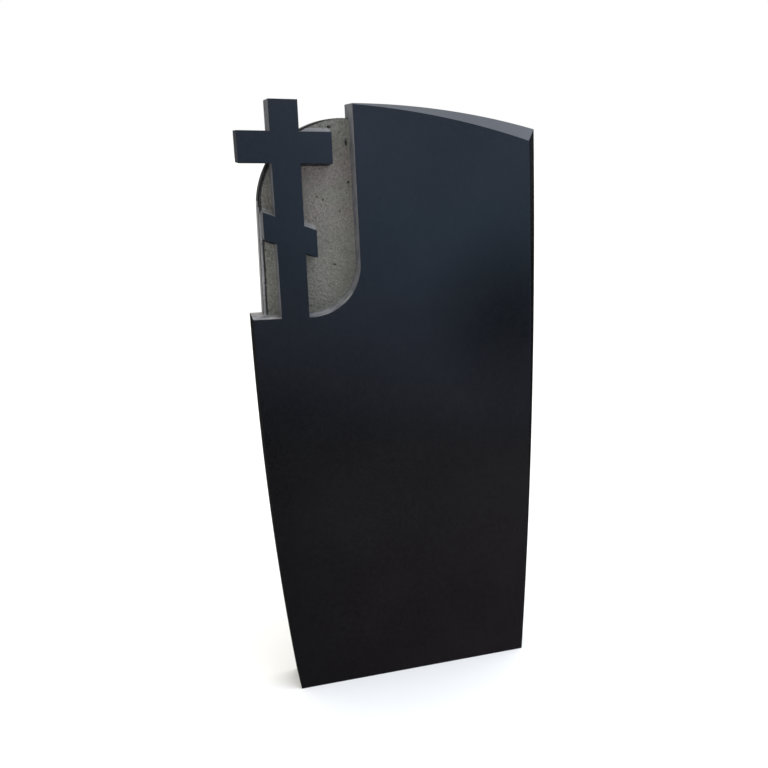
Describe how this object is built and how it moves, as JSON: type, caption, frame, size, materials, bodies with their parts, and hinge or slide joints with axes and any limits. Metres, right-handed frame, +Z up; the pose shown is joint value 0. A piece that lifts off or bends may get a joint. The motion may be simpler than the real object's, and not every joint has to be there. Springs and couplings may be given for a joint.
{
  "type": "headstone",
  "caption": "Upright polished black stone headstone with curved sides, a falling bevelled top and a carved cross standing in front of a rough arched niche.",
  "frame": {"origin": "middle of the flat underside", "axes": "+Z up, -Y the way the polished face looks, +X to the right of someone who reads the face"},
  "size_m": [0.48, 0.07, 1],
  "materials": {
    "polished_granite": "black granite polished to a mirror on the face, the bevels and the outer sides; the niche panel is hammered rough and light grey, its walls and the back are sawn"
  },
  "bodies": {
    "root": {"headstone": "polished_granite"}
  },
  "joints": []
}
